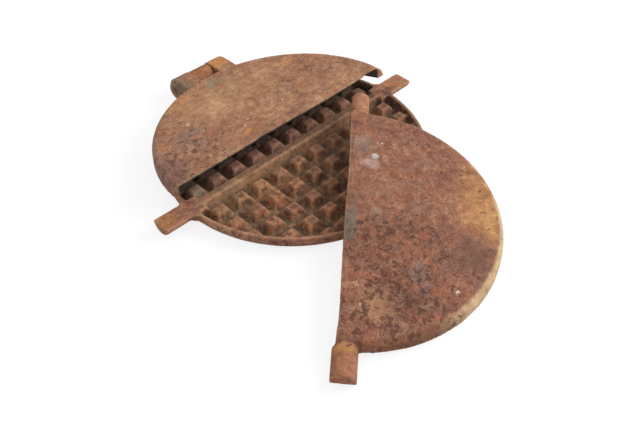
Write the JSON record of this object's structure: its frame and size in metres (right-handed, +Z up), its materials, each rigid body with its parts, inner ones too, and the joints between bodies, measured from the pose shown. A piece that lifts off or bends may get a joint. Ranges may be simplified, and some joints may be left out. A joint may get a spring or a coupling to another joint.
{
  "type": "stovetop waffle iron",
  "caption": "Round cast-iron stovetop waffle iron with half-round trunnions and a hinged lid that has broken in two, one half loose.",
  "frame": {"origin": "centre of the pan's flat underside, on the surface it stands on", "axes": "+Z up, +X along the pan's two trunnions, +Y from the middle towards the hinge"},
  "size_m": [0.2506, 0.3161, 0.0331],
  "materials": {
    "pan_iron": "rusted, rough casting",
    "pin_steel": "rusted dull",
    "hinged_lid_iron": "rusted, rough casting",
    "loose_lid_iron": "rusted, pitted casting"
  },
  "bodies": {
    "pan": {"waffle_pan": "pan_iron", "hinge_pin": "pin_steel"},
    "hinged_half": {"hinged_lid_half": "hinged_lid_iron"},
    "loose_half": {"loose_lid_half": "loose_lid_iron"}
  },
  "joints": [
    {"name": "lid_hinge", "type": "hinge", "parent": "pan", "child": "hinged_half", "pos_m": [0.0033, 0.1165, 0.0108], "axis": [-1, 0, 0], "range_deg": [0, 165]},
    {"name": "loose_half_lift", "type": "slide", "parent": "pan", "child": "loose_half", "axis": [0, 0, 1], "range_m": [0, 0.06]}
  ]
}
